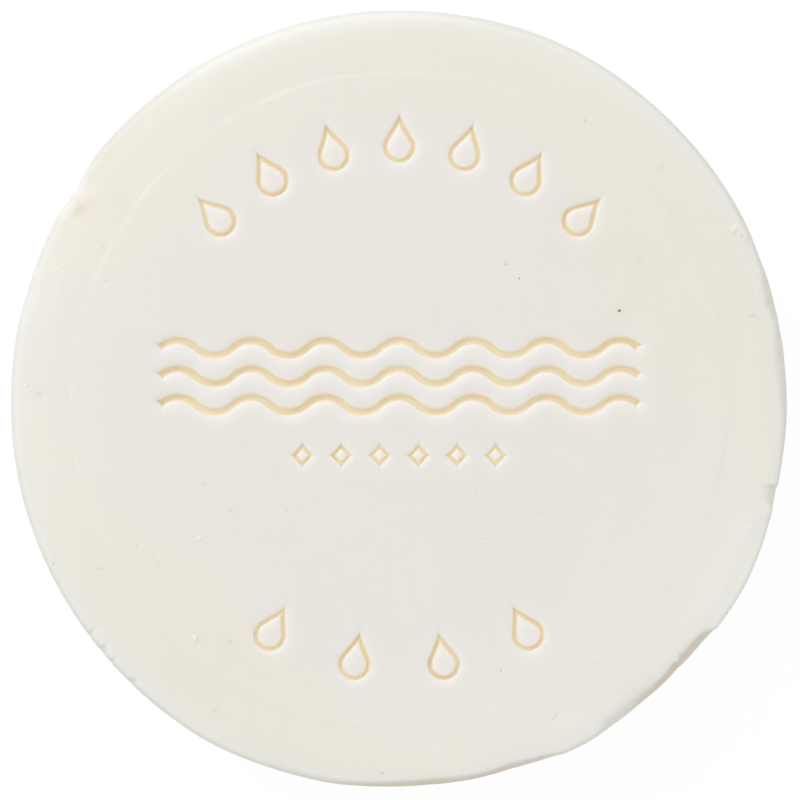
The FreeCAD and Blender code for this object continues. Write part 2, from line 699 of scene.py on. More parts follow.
def strongest(patches: tuple[Patch, ...], bearing: Array, walk: Array) -> Array:
    """How much of the patch that shows most shows at each place."""
    return np.max([patch.share(bearing, walk) for patch in patches], axis=0)


@dataclass(frozen=True)
class CreamBand:
    """The creamier skin along the rim, where the soap was pressed hardest.

    Attributes:
        starts: how far from the middle it starts, at even steps of bearing from 0.
        blur: half the width of its border, which the finish breaks up.
    """

    starts: tuple[float, ...] = (
        *(29.0, 22.5, 22.5, 26.0, 28.0, 30.0),
        *(30.0, 31.5, 30.0, 28.5, 28.0, 39.0),
        *(38.0, 33.0, 24.5, 25.5, 28.5, 28.5),
        *(33.5, 37.0, 42.0, 43.0, 42.0, 35.5),
    )
    blur: float = 8.0

    def share(self, bearing: Array, walk: Array) -> Array:
        """How creamy the skin is, from 0 to 1, at bearings and walks from the middle."""
        start = np.interp(bearing, circle(len(self.starts), 0) * 180 / math.pi, self.starts, period=360)
        return smooth((walk - start + self.blur) / (2 * self.blur))


@dataclass(frozen=True)
class Pit:
    """A small round hollow in the face; warm is how much of the inside's tint it shows."""

    place: Pair
    radius: float
    depth: float
    warm: float = 0.0

    def across(self, flat: Array) -> Array:
        """Distances from its middle to points of the layout, as shares of its radius."""
        return np.hypot(*(flat - self.place).T) / self.radius

    def rings(self) -> list[Array]:
        """The mesh's rings of points over it, from its middle out past its edge."""
        steps = ((0.02, 1), (0.45, 6), (0.8, 9), (1.15, 11), (1.7, 12))
        return [loop(count) * self.radius * share + self.place for share, count in steps]


@dataclass(frozen=True)
class Crumb:
    """A crumb of soap that the die has pressed into the face.

    Attributes:
        size: its length, which lies turn degrees round from X; slim is its width over that.
        height: how far it stands out.
    """

    place: Pair
    size: float
    turn: float = 0.0
    slim: float = 0.65
    height: float = 0.13

    def across(self, flat: Array) -> Array:
        """Distances from its middle to points of the layout, as shares of the way to its edge.

        Args:
            flat: points of the layout.

        Returns:
            A share for each point.
        """
        along, aside = turned(flat - self.place, -math.radians(self.turn)).T
        ragged = 1 + 0.3 * lumps(flat, self.size * 0.6, 12.0)
        return np.hypot(along, aside / self.slim) / (self.size / 2) * ragged

    def rings(self) -> list[Array]:
        """The mesh's rings of points over it, from its middle out past its edge.

        Returns:
            The rings.
        """
        steps = [(0.1 + 0.15 * step, 5 + 2 * step) for step in range(12)]
        half = np.array([self.size / 2, self.size / 2 * self.slim])
        turn = math.radians(self.turn)
        return [turned(loop(count) * half, turn) * share + self.place for share, count in steps]


@dataclass
class CakeForm:
    """The cake's surface, and what the finish is told about each place on it.

    Attributes:
        top_edge: the rounding of the upper edge.
        roll_width: how far inside the wall the face starts to fall away.
        roll_radius: the radius of that fall in section.
        plate_radius: the radius of the disc that the die's plate leaves.
        plate_step: how far that disc stands proud.
        plate_slope: half the width of that step's slope, how much it varies, and over what length.
        swell_start: the radius from which the face follows the outline.
        waves: the height and width of the face's waves.
        drags: the same for the upright drag marks on the wall.
        shoulder: how softly a knock's flat runs into the skin round it.
        reach: how far from the flat that softness ends.
        grit: the height and width of the lumps on a knock's flat.
        brow: how far outside a pressed stroke its rounded upper corner starts.
        uneven: how unevenly the die pressed, as the height and width of two sizes of wave.
        lee: the direction across the face in which each crumb's painted shadow falls.
        lobes: how the outline departs from a circle.
        streak: a thin smear of the cream.
        powdery: where the edge's rounding has dried white, and on the lamp's side a painted highlight.
        waxy: where it has stayed as creamy as the face.
        crisp: where the edge has kept a sharper corner.
        painted_rim_shade: painted shade, a warm darker tone on the rim where it faces away from the lamp.
        scored_line_highlight: where the plate's edge has left a pale line, partly painted highlight, with
            score_width to each side.
        rim_skin: where the rim's own tone starts, and how far on it is full.
        wax_stain: where the waxy stretch starts to hide the pale soap.
    """

    radius: float
    thickness: float
    top_edge: float = 1.3
    bottom_edge: float = 1.0
    roll_width: float = 4.4
    roll_radius: float = 22.0
    plate_radius: float = 33.55
    plate_step: float = 0.05
    plate_slope: tuple[float, float, float] = (0.09, 0.03, 9.0)
    swell_start: float = 24.0
    waves: Pair = (0.022, 11.0)
    ripples: Pair = (0.0045, 2.6)
    drags: Pair = (0.035, 2.1)
    shoulder: float = 0.36
    reach: float = 1.2
    grit: Pair = (0.05, 0.9)
    brow: float = 0.04
    uneven: tuple[Pair, Pair] = ((0.28, 4.5), (0.10, 1.3))
    lee: Pair = (0.6, -0.8)
    lobes: tuple[Lobe, ...] = rows(
        Lobe,
        (65, 13, 0.19), (235, 18, 0.17), (314, 4, 0.13), (147, 4, -0.30), (159, 9, -0.22),
        (178, 12, -0.10), (11, 2.5, -0.15), (21, 4, -0.15), (0, 14, -0.10), (284, 6, -0.10),
        (346, 8, -0.10),
    )
    bites: tuple[Bite, ...] = rows(
        Bite,
        (316.4, 324.6, 0.42, 36, 0.15, 0.8), (304.5, 318.2, 0.56, 27, 0.85),
        (300.5, 314.5, 0.24, 52, 0.65, 0.5), (279.0, 295.0, 0.42, 26, 0.5, 1.0),
        (259.0, 289.0, 0.48, 26, 0.5, 1.0), (343.6, 347.4, 0.12, 48, 0.8, 0.2),
        (356.0, 372.0, 0.30, 43, 0.6, 0.2), (371.0, 380.0, 0.36, 42, 0.4, 0.4),
        (143.5, 149.0, 0.17, 44, 0.5, 0.0), (147.5, 151.5, 0.11, 46, 0.3, 0.2),
        (161.0, 168.5, 0.10, 46, 0.4, 0.0), (216.6, 217.6, 0.07, 45, 0.5, 0.0),
        (219.4, 221.2, 0.14, 42, 0.3, 0.0), (221.9, 222.7, 0.10, 45, 0.5, 0.0),
        (225.6, 227.4, 0.10, 40, 0.6, 0.0),
    )
    cream: CreamBand = CreamBand()
    streak: Patch = Patch(334.0, 10.0, 33.4, 0.8, 0.8, 36.4)
    pale: tuple[Patch, ...] = (Patch(160.0, 50.0, 32.0, 8.0, 0.6), Patch(305.0, 50.0, 28.0, 6.0, 0.55))
    powdery: tuple[Patch, ...] = rows(
        Patch,
        (104.0, 22.0, 38.5, 0.8, 0.42), (158.0, 16.0, 39.6, 0.4, 0.25), (147.5, 4.5, 39.4, 0.4, 0.75),
        (331.0, 10.0, 39.2, 0.4, 0.6),
    )
    waxy: Patch = Patch(138.0, 17.0, 30.0, 1.0, 0.9)
    crisp: tuple[Lobe, ...] = rows(
        Lobe,
        (331, 12, 0.46), (347, 9, 0.10), (298, 6, 0.32), (242, 8, 0.20), (140, 11, 0.12),
    )
    painted_rim_shade: tuple[Patch, ...] = rows(
        Patch,
        (8.0, 22.0, 39.8, 0.5, 0.2, 42.6), (276.0, 20.0, 39.8, 0.5, 1.0, 42.6),
    )
    scored_line_highlight: Patch = Patch(130.0, 31.0, 20.0, 3.0, 1.0)
    score_width: float = 0.13
    rim_skin: Pair = (37.6, 1.4)
    wax_stain: float = 38.2
    pits: tuple[Pit, ...] = ()
    crumbs: tuple[Crumb, ...] = ()
    pattern: list[Stroke] = field(default_factory=list)
    scratches: list[Stroke] = field(default_factory=list)

    def __post_init__(self) -> None:
        """Works out where the flat, the roll, the edges and the wall meet on a walk outwards."""
        self.band_z = self.thickness - self.plate_step
        self.roll_start = self.radius - self.roll_width
        inner = self.roll_radius - self.top_edge
        across = self.roll_width - self.top_edge
        self.roll_angle = math.asin(across / inner)
        self.edge_z = self.band_z - self.roll_radius + inner * math.cos(self.roll_angle)
        self.edge_start = self.roll_start + self.roll_radius * self.roll_angle
        self.wall_start = self.edge_start + self.top_edge * (math.pi / 2 - self.roll_angle)
        self.foot_start = self.wall_start + self.edge_z - self.bottom_edge
        self.end = self.foot_start + self.bottom_edge * math.pi / 2

    def section(self, walk: Array) -> tuple[Array, Array, Array, Array]:
        """The cake's plain section.

        Args:
            walk: distances from the middle of the upper face, along the surface.

        Returns:
            Radius, height, and the outward direction's radial and upward shares.
        """
        starts = (self.roll_start, self.edge_start, self.wall_start, self.foot_start)
        zones = [walk < start for start in starts]
        roll = (walk - self.roll_start) / self.roll_radius
        edge = self.roll_angle + (walk - self.edge_start) / self.top_edge
        foot = math.pi / 2 + (walk - self.foot_start) / self.bottom_edge
        tilt = np.select(zones, [0.0, roll, edge, math.pi / 2], foot)
        out, up = np.sin(tilt), np.cos(tilt)
        inner = self.radius - self.top_edge
        radii = [walk, self.roll_start + self.roll_radius * out, inner + self.top_edge * out, self.radius]
        roll_z = self.band_z - self.roll_radius + self.roll_radius * up
        down = self.edge_z - (walk - self.wall_start)
        heights = [self.band_z, roll_z, self.edge_z + self.top_edge * up, down]
        r = np.select(zones, radii, self.radius - self.bottom_edge + self.bottom_edge * out)
        return r, np.select(zones, heights, self.bottom_edge + self.bottom_edge * up), out, up

    def swell(self, lobes: tuple[Lobe, ...], bearing: Array) -> Array:
        """The sum of some lobes at each bearing."""
        return sum(lobe.rise * np.exp(-((apart(bearing, lobe.bearing) / lobe.spread) ** 2)) for lobe in lobes)

    def pressed(self, flat: Array) -> tuple[Array, Array, Array]:
        """What the strokes do to the face.

        Args:
            flat: points of the layout.

        Returns:
            The depth, how far each point is down a pressed stroke from 0 to 1, and how near it
            is to such a stroke's edge from 0 to 1.
        """
        depth, sunk, near = np.zeros((3, len(flat)))
        (coarse, coarse_width), (fine, fine_width) = self.uneven
        uneven = 1.0 + coarse * lumps(flat, coarse_width, 3.0) + fine * lumps(flat, fine_width, 4.0)
        press = np.clip(uneven, 0.6, 1.15)
        for stroke in self.pattern:
            groove = stroke.groove
            outside = stroke.outside(flat)
            share = smooth((self.brow - outside) / (groove.wall + self.brow))
            fade = np.clip(1 - np.maximum(outside, 0) / groove.reach, 0, 1) ** 2
            depth = np.maximum(depth, press * groove.depth * share + groove.dish * fade)
            sunk = np.maximum(sunk, share * np.clip(press, 0, 1))
            near = np.maximum(near, fade)
        for stroke in self.scratches:
            share = smooth(-stroke.outside(flat) / stroke.groove.wall)
            depth += stroke.groove.depth * share * np.clip(uneven, 0.3, 1.1)
        return depth, sunk, near

    def plate(self, walk: Array, flat: Array) -> Array:
        """How far the face stands above the rim band inside the die plate's edge."""
        slope = self.plate_slope[0] + self.plate_slope[1] * lumps(flat, self.plate_slope[2], 8.0)
        return self.plate_step * smooth((self.plate_radius + slope - walk) / (2 * slope))

    def _skin(self, spots: Array, walk: Array) -> Array:
        """How far the waves, the ripples and the wall's drag marks lift the skin.

        Args:
            spots: points in space.
            walk: their distances from the middle, along the surface.

        Returns:
            A lift for each point.
        """
        side = smooth((walk - self.wall_start) / 2.0) * smooth((self.foot_start - walk) / 1.5)
        drawn = spots * np.array([1.0, 1.0, 0.07])
        lift = self.waves[0] * lumps(spots, self.waves[1], 1.0)
        lift += self.ripples[0] * lumps(spots, self.ripples[1], 2.0)
        return lift + side * self.drags[0] * lumps(drawn, self.drags[1], 9.0)

    def _spots(self, flat: Array) -> tuple[Array, ...]:
        """How pits and crumbs lift, break, stain and crush the face, with the crumbs' painted shadow.

        Args:
            flat: points of the layout.

        Returns:
            The lift, and how broken, stained and crushed each point is, painted shadow included.
        """
        lift, broken, stain_and_shadow, crushed = np.zeros((4, len(flat)))
        for pit in self.pits:
            hollow = smooth(1.15 - pit.across(flat))
            lift -= pit.depth * hollow
            broken = np.maximum(broken, pit.warm * hollow)
            stain_and_shadow = np.maximum(stain_and_shadow, 4 * pit.warm * hollow)
        for crumb in self.crumbs:
            across = crumb.across(flat)
            share = smooth((1.2 - across) / 0.6)
            lift += crumb.height * share
            crushed = np.maximum(crushed, 0.35 * share)
            # Painted shadow: each crumb's side away from the lamp takes the warm tone and loses its pale
            # gain.
            from_lamp = (flat - crumb.place) @ np.array(self.lee) / (crumb.size / 2)
            shadow = smooth((1.5 - across) / 0.4) * smooth(from_lamp)
            broken = np.maximum(broken, 0.4 * shadow)
            stain_and_shadow = np.maximum(stain_and_shadow, 1.5 * shadow)
        return lift, broken, stain_and_shadow, crushed

    def fold(self, flat: Array) -> tuple[Array, dict[str, Array]]:
        """Puts points of the layout on the cake's surface.

        Args:
            flat: points of the layout.

        Returns:
            The points in space, and each attribute that the finish reads.
        """
        walk, bearing = polar(flat)
        r, z, out, up = self.section(walk)
        spots = np.column_stack([around(r, np.radians(bearing)), z])
        depth, sunk, near = self.pressed(flat)
        marked, broken, stain_and_shadow, crushed = self._spots(flat)
        waxy = self.waxy.share(bearing, walk)
        # Painted shade: the rim away from the lamp takes the warm broken tone.
        broken = np.maximum(broken, strongest(self.painted_rim_shade, bearing, walk))
        stain_and_shadow = np.maximum(stain_and_shadow, 2 * waxy * smooth(walk - self.wax_stain))
        # The sharper corner fills the end of the roll, and most of all the middle of the rounding.
        filled = smooth((walk - self.roll_start) / (self.edge_start - self.roll_start)) * up**2
        corner = self.swell(self.crisp, bearing) * (filled + 4 * (out * up) ** 2)
        lift = self.plate(walk, flat) - depth + self._skin(spots, walk) + marked + corner
        rim = smooth((walk - self.swell_start) / (self.radius - self.swell_start))
        r = r + out * lift + rim * self.swell(self.lobes, bearing)
        z = z + up * lift
        # A knock's flat takes the warm broken tone, partly painted shade, and the rest crushed white, partly
        # a painted highlight.
        for bite in self.bites:
            r, z, cut = self._break_off(bite, bearing, r, z, spots)
            broken = np.maximum(broken, cut * bite.raw)
            crushed = np.maximum(crushed, cut * (1 - bite.raw))
        upper = smooth((self.wall_start + 3.0 - walk) / 3.0)
        line = np.exp(-(((walk - self.plate_radius) / self.score_width) ** 2))
        marks = {
            "sunk": sunk,
            "near": near,
            "broken": broken,
            "crushed": crushed,
            "creamy": np.maximum(self.cream.share(bearing, walk), self.streak.share(bearing, walk)),
            "pale": strongest(self.pale, bearing, walk) - stain_and_shadow,
            "powdery": strongest(self.powdery, bearing, walk) * upper,
            "ring": line * self.scored_line_highlight.share(bearing, walk),
            "rim": smooth((walk - self.rim_skin[0]) / self.rim_skin[1]) * (1 - waxy) * upper,
            "wall": smooth((walk - self.wall_start) / 2.0),
        }
        return np.column_stack([around(r, np.radians(bearing)), np.maximum(z, 0.0)]), marks

    def _break_off(
        self, bite: Bite, bearing: Array, r: Array, z: Array, spots: Array
    ) -> tuple[Array, Array, Array]:
        """Cuts one flat off the upper edge.

        Args:
            bite: the flat.
            bearing: each point's bearing.
            r: its radius.
            z: its height.
            spots: each point before any knock, for the break's roughness.

        Returns:
            Radius and height after the cut, and how broken each point is from 0 to 1.
        """
        shape = bite.shape(bearing)
        out, up = math.cos(math.radians(bite.lean)), math.sin(math.radians(bite.lean))
        edge = (self.radius - self.top_edge) * out + self.edge_z * up + self.top_edge
        height, width = self.grit
        depth = (bite.depth + height * lumps(spots, width, 5.0 + bite.first)) * shape
        proud = r * out + z * up - self.swell(self.lobes, bearing) * out - edge + depth
        soft = self.shoulder * shape
        rounded = (proud + np.hypot(proud, soft)) / 2 - (np.hypot(self.reach, soft) - self.reach) / 2
        above = (shape > 0) & (z > self.thickness / 2)
        cut = np.where(above, np.maximum(rounded, 0), 0) * smooth(shape / 0.5)
        return r - out * cut, z - up * cut, smooth(cut / (1.5 * self.shoulder))


# Finishes.


@dataclass(frozen=True)
class MilledSoap:
    """Hard shaving soap: dried stearate chips milled, extruded and pressed cold between dies.

    The dies leave a satin skin, and light goes a millimetre or so into the soap before it comes
    back, so that shaded grooves glow amber and edges stay soft. That glow is also painted in.

    Attributes:
        roughness: of the pressed skin.
        depth_mm: how far red, green and blue light wander in the soap, alike in so white a soap.
        noises: each noise's width in mm, detail and raggedness. The grain is drawn coarser than
            real so that it shows.
        shares: the most that each value stored on the mesh adds.
        relief: how much of the relief shows, and its height in mm.
        band_mm: the radii between which the smear of the turning plate's edge comes in.
    """

    name: str = "milled_soap_die_pressed"
    roughness: Pair = (0.38, 0.54)
    depth_mm: tuple[float, float, float] = (1.0, 1.0, 1.0)
    noises: tuple[tuple[str, float, float, float], ...] = (
        ("patches", 7.0, 5.0, 0.85),
        ("clouds", 11.0, 3.0, 0.6),
        ("dashes", 5.0, 2.0, 0.6),
        ("polish", 3.0, 3.0, 0.6),
        ("grain", 0.35, 4.0, 0.6),
    )
    shares: tuple[tuple[str, float], ...] = (
        *(("creamy", 1.0), ("pale", 0.042), ("ring", 0.9), ("rim", 0.8), ("powdery", 1.0)),
        *(("near", 1.0), ("crushed", 0.6), ("broken", 1.0), ("sunk", 1.0), ("wall", 2.5)),
    )
    relief: Pair = (0.35, 0.03)
    band_mm: Pair = (30.0, 35.0)

    def material(self) -> bpy.types.Material:
        """Builds the finish as a node material.

        Returns:
            The material.
        """
        soap = bpy.data.materials.new(self.name)
        add = start_tree(soap)
        place = add("TexCoord", {}, "Object")
        noises = {}
        for name, size, detail, ragged in self.noises:
            spread = {"Vector": place, "Scale": 1 / (size * MM), "Detail": detail, "Roughness": ragged}
            noises[name] = add("TexNoise", spread)
        marks = {}
        for name, most in self.shares:
            stored = add("Attribute", {}, "Fac", attribute_name=name)
            marks[name] = add("Math", {0: stored, 1: most}, operation="MULTIPLY")
        level = add("VectorMath", {0: place, 1: (1, 1, 0)}, operation="MULTIPLY")
        radius = add("VectorMath", {0: level}, "Value", operation="LENGTH")
        first, last = (edge * MM for edge in self.band_mm)
        band = add("MapRange", {"Value": radius, "From Min": first, "From Max": last}, **SOFT_STEP)
        swirl = self._swirl(add, level, radius)
        low, high = self.roughness
        inputs = {
            "Base Color": self._colour(add, noises, marks, band, swirl),
            "Roughness": add("MapRange", {"Value": noises["polish"], "To Min": low, "To Max": high}),
            "Subsurface Weight": 1.0,
            "Subsurface Radius": self.depth_mm,
            "Subsurface Scale": MM,
        }
        # The skin's grain, with the plate's smear over it and drag marks down the wall.
        smear = add("Math", {0: band, 1: swirl}, operation="MULTIPLY")
        skin = add("Math", {0: smear, 1: 0.8, 2: noises["grain"]}, operation="MULTIPLY_ADD")
        upright = add("VectorMath", {0: place, 1: (1, 1, 0.06)}, operation="MULTIPLY")
        drawn = {"Vector": upright, "Scale": 1 / (0.5 * MM), "Detail": 3.0, "Roughness": 0.6}
        height = add("Math", {0: add("TexNoise", drawn), 1: marks["wall"], 2: skin}, operation="MULTIPLY_ADD")
        end_in_soap(add, inputs, height, *self.relief)
        return soap

    def _swirl(self, add: Adder, level: Socket, radius: Socket) -> Socket:
        """Noise drawn out round the puck's axis, as the turning die plate smears the skin.

        Args:
            add: adds a node to the material's tree.
            level: a point's place without its height.
            radius: its distance from the axis.

        Returns:
            The noise.
        """
        facing = add("VectorMath", {0: level}, operation="NORMALIZE")
        drawn = add("VectorMath", {0: facing, "Scale": 4.0}, operation="SCALE")
        fine = add("Math", {0: radius, 1: 1 / (0.7 * MM)}, operation="MULTIPLY")
        spot = add("VectorMath", {0: drawn, 1: add("CombineXYZ", {"Z": fine})}, operation="ADD")
        return add("TexNoise", {"Vector": spot, "Scale": 1.0, "Detail": 3.0})

    def _colour(self, add: Adder, noises: Sockets, marks: Sockets, band: Socket, swirl: Socket) -> Socket:
        """Creamy and neutral patches, a rim with painted highlight and painted shade, and a painted amber
        glow where the die has sunk.

        Args:
            add: adds a node to the material's tree.
            noises: the skin's noises.
            marks: the values stored on the mesh, scaled.
            band: how far a point is into the plate edge's smear, from 0 to 1.
            swirl: the smear's noise.

        Returns:
            The colour.
        """
        patches = add("Math", {0: noises["patches"], 1: 3.0, 2: -0.95}, operation="MULTIPLY_ADD")
        creamy = add("Math", {0: patches, 1: marks["creamy"]}, operation="ADD")
        cream = add("MapRange", {"Value": creamy, "From Min": 0.96, "From Max": 1.14}, **SOFT_STEP)
        tones = {0: cream, 6: linear(Tone.PLAIN), 7: linear(Tone.CREAM)}
        clouds = add("Math", {0: noises["clouds"], 1: 0.03, 2: 0.985}, operation="MULTIPLY_ADD")
        gain = add("Math", {0: clouds, 1: marks["pale"]}, operation="ADD")
        plain = add("Mix", tones, 2, data_type="RGBA")
        colour = add("VectorMath", {0: plain, "Scale": gain}, operation="SCALE")
        streaks = add("MapRange", {"Value": swirl, "From Min": 0.56, "From Max": 0.8}, **SOFT_STEP)
        smear = add("Math", {0: band, 1: streaks}, operation="MULTIPLY")
        dashes = add("MapRange", {"Value": noises["dashes"], "From Min": 0.42, "From Max": 0.55}, **SOFT_STEP)
        layers = (
            (add("Math", {0: smear, 1: 0.2}, operation="MULTIPLY"), Tone.POWDER_AND_HIGHLIGHT),
            # The plate edge's pale line, on the lamp's side only, partly a painted highlight of its step.
            (add("Math", {0: dashes, 1: marks["ring"]}, operation="MULTIPLY"), Tone.SCORED_HIGHLIGHT),
            (marks["rim"], Tone.RIM),
            # Dried white on the rounding, and on the lamp's side a painted highlight.
            (marks["powdery"], Tone.POWDER_AND_HIGHLIGHT),
            (marks["near"], Tone.SHOULDER),
            # Crushed white soap on crumbs and knocks, and a painted highlight on the knocks facing the lamp.
            (marks["crushed"], Tone.POWDER_AND_HIGHLIGHT),
            # Warm broken soap and stain, with painted shade on knocks, on the rim away from the lamp and on
            # the crumbs' lee.
            (marks["broken"], Tone.BROKEN_SOAP_AND_SHADE),
            # Painted glow: the grooves take the amber of scattered light, more of it where the die sank
            # deeper.
            (add("Math", {0: marks["sunk"], 1: 0.5}, operation="POWER"), Tone.PAINTED_GROOVE_GLOW),
        )
        for share, tone in layers:
            colour = add("Mix", {0: share, 6: colour, 7: linear(tone)}, 2, data_type="RGBA")
        return colour


@dataclass(frozen=True)
class SoapFleck:
    """A scrap of overdried or oily soap that the mill has left in the bar.

    Attributes:
        thin_tone: its colour where it is thinnest.
        cloud_mm: the width of its darker and thinner places.
        relief: how much of its relief shows, and the height of that in mm.
    """

    name: str
    tone: Tone
    thin_tone: Tone
    cloud_mm: float = 0.2
    roughness: Pair = (0.45, 0.65)
    relief: Pair = (0.4, 0.02)

    def material(self) -> bpy.types.Material:
        """Builds the finish as a node material.

        Returns:
            The material.
        """
        scrap = bpy.data.materials.new(self.name)
        add = start_tree(scrap)
        place = add("TexCoord", {}, "Object")
        cloud = add("TexNoise", {"Vector": place, "Scale": 1 / (self.cloud_mm * MM), "Detail": 3.0})
        tones = {0: cloud, 6: linear(self.tone), 7: linear(self.thin_tone)}
        low, high = self.roughness
        inputs = {
            "Base Color": add("Mix", tones, 2, data_type="RGBA"),
            "Roughness": add("MapRange", {"Value": cloud, "To Min": low, "To Max": high}),
        }
        end_in_soap(add, inputs, cloud, *self.relief)
        return scrap


# The pieces.


@dataclass
class PressedCake:
    """The puck itself, as one closed mesh, with the spacing of its points on each part.

    Attributes:
        edge_pitch: down the rounded edges, where rim_pitch is round them.
        hollow: how deep the lower plate's disc is pressed into the underside.
        gap: points of the finer rows that are closer than this become one.
    """

    form: CakeForm
    face_pitch: float = 0.7
    rim_pitch: float = 0.62
    edge_pitch: float = 0.21
    break_pitch: float = 0.16
    base_pitch: float = 1.0
    hollow: float = 0.04
    gap: float = 0.045

    def build(self, finish: bpy.types.Material) -> bpy.types.Object:
        """Builds the mesh, stores the marks for the finish, and dresses it.

        Args:
            finish: the cake's material.

        Returns:
            The piece.
        """
        flat, faces = self._triangles(self._upper_points())
        places, marks = self.form.fold(flat)
        base, base_faces = self._underside()
        mesh = bpy.data.meshes.new("pressed_soap")
        faces += [[len(places) + corner for corner in reversed(face)] for face in base_faces]
        mesh.from_pydata((np.concatenate([places, base]) * MM).tolist(), [], faces)
        walk, bearing = polar(base[:, :2])
        base_marks = {"creamy": self.form.cream.share(bearing, walk)}
        for name, values in marks.items():
            layer = mesh.attributes.new(name, "FLOAT", "POINT")
            below = base_marks.get(name, np.zeros(len(base)))
            layer.data.foreach_set("value", np.concatenate([values, below]))
        self._close(mesh)
        return put_soap(mesh, finish)

    def _triangles(self, flat: Array) -> tuple[Array, list[list[int]]]:
        """Joins points of the plane with triangles."""
        found = delaunay_2d_cdt([Vector(point) for point in flat.tolist()], [], [], 0, 1e-7, False)
        return np.array([tuple(point) for point in found[0]]), [list(face) for face in found[2]]

    def _ring(self, walk: float, pitch: float, radius: float, odd: bool) -> Array:
        """Points on a circle of the layout, a pitch apart where its radius on the cake is radius."""
        return around(walk, circle(max(6, round(2 * math.pi * radius / pitch)), 0.5 * odd))

    def _upper_points(self) -> Array:
        """The layout's points: along strokes, round pits, on broken edges, and between them.

        Returns:
            The points.
        """
        form = self.form
        strokes = [*form.pattern, *form.scratches]
        groups = []
        for stroke in strokes:
            for level in stroke.groove.levels():
                row = stroke.row(level, stroke.groove.pitch(level))
                others = [other.outside(row) for other in strokes if other is not stroke]
                groups.append(row[np.min(others, axis=0) > max(level, 0.0) + 0.05])
        for mark in (*form.pits, *form.crumbs):
            groups += mark.rings()
        fine = np.concatenate([*groups, *self._broken_rows()])
        coarse = self._rings()
        return np.concatenate([self._spaced(fine), coarse[self._free(coarse, strokes)]])

    def _spaced(self, points: Array) -> Array:
        """Drops each point that lies within the gap of one before it.

        Args:
            points: the points, the ones to keep first.

        Returns:
            The points that are kept.
        """
        kept: dict[tuple[int, int], list[Pair]] = {}
        result = []
        for x, y in points.tolist():
            column, row = math.floor(x / self.gap), math.floor(y / self.gap)
            cells = ((column + i, row + j) for i in (-1, 0, 1) for j in (-1, 0, 1))
            close = [other for cell in cells for other in kept.get(cell, ())]
            if all((x - other[0]) ** 2 + (y - other[1]) ** 2 > self.gap**2 for other in close):
                kept.setdefault((column, row), []).append((x, y))
                result.append((x, y))
        return np.array(result)

    def _broken_rows(self) -> list[Array]:
        """Close rows of points over each stretch of broken edge.

        Returns:
            The rows.
        """
        form = self.form
        walks = evenly(form.edge_start - 0.8, form.wall_start + 1.2, self.break_pitch)
        step = self.break_pitch / form.radius
        found = []
        for bite in form.bites:
            angles = evenly(math.radians(bite.first - 0.5), math.radians(bite.last + 0.5), step)
            found += [around(walk, angles + 0.5 * step * (index % 2)) for index, walk in enumerate(walks)]
        return found

    def _rings(self) -> Array:
        """Rings of points over the whole layout, close where the surface turns.

        Returns:
            All their points.
        """
        form = self.form
        plate = form.plate_radius
        walks = [
            *evenly(self.face_pitch, plate - 0.5, self.face_pitch * 0.87),
            *(plate + step for step in (-0.2, -0.08, 0.02, 0.12, 0.25)),
            *evenly(plate + 0.6, form.edge_start - 0.2, self.rim_pitch * 0.85),
            *evenly(form.edge_start, form.wall_start, self.edge_pitch),
            *evenly(form.wall_start + 0.45, form.foot_start - 0.45, self.rim_pitch),
            *evenly(form.foot_start, form.end, self.edge_pitch * 1.2),
        ]
        rings = [np.zeros((1, 2))]
        for index, walk in enumerate(walks):
            radius = float(form.section(np.array([walk]))[0][0])
            pitch = self.face_pitch if walk < plate - 0.4 else self.rim_pitch
            rings.append(self._ring(walk, pitch, radius, index % 2 == 1 and walk < form.end))
        return np.concatenate(rings)

    def _free(self, points: Array, strokes: list[Stroke]) -> Array:
        """Whether each point is clear of the finer rows round strokes, pits, crumbs and breaks.

        Args:
            points: points of the layout.
            strokes: every stroke in the face.

        Returns:
            True or false for each point.
        """
        form = self.form
        free = np.ones(len(points), dtype=bool)
        for stroke in strokes:
            last = stroke.groove.levels()[-1]
            free &= stroke.outside(points) > last + 0.6 * stroke.groove.pitch(last)
        for pit in form.pits:
            free &= pit.across(points) > 2.1
        for crumb in form.crumbs:
            free &= np.hypot(*(points - crumb.place).T) > crumb.size
        walk, bearing = polar(points)
        on_edge = (walk > form.edge_start - 0.9) & (walk < form.wall_start + 1.3)
        for bite in form.bites:
            past = bite.past(bearing)
            free &= ~(on_edge & (past > -0.6) & (past < bite.last - bite.first + 0.6))
        return free

    def _underside(self) -> tuple[Array, list[list[int]]]:
        """The flat that the lower die leaves, with a shallow ring like the upper plate's.

        Returns:
            Points in space, and the triangles between them.
        """
        form = self.form
        edge = form.radius - form.bottom_edge
        walks = [
            *evenly(self.base_pitch, form.plate_radius - 0.5, self.base_pitch * 0.87),
            *(form.plate_radius + step for step in (-0.2, 0.0, 0.2)),
            *evenly(form.plate_radius + 0.8, edge - 0.6, self.base_pitch * 0.87),
        ]
        rings = [self._ring(walk, self.base_pitch, walk, index % 2 == 1) for index, walk in enumerate(walks)]
        rim_ring = self._ring(edge, self.rim_pitch, edge, False)
        flat, faces = self._triangles(np.concatenate([np.zeros((1, 2)), rim_ring, *rings]))
        walk, bearing = polar(flat)
        inside = smooth((form.plate_radius + 0.15 - walk) / 0.3)
        height = inside * (self.hollow + 0.012 * (1 + lumps(flat, 7.0, 6.0)))
        # The rim follows the wall's outline, and the middle stays where it is.
        under = (walk + form.end - edge - form.swell_start) / (form.radius - form.swell_start)
        rim = smooth(under) * smooth((walk - 20.0) / 12.0)
        scale = 1 + rim * form.swell(form.lobes, bearing) / np.maximum(walk, 1.0)
        return np.column_stack([flat * scale[:, None], height]), faces

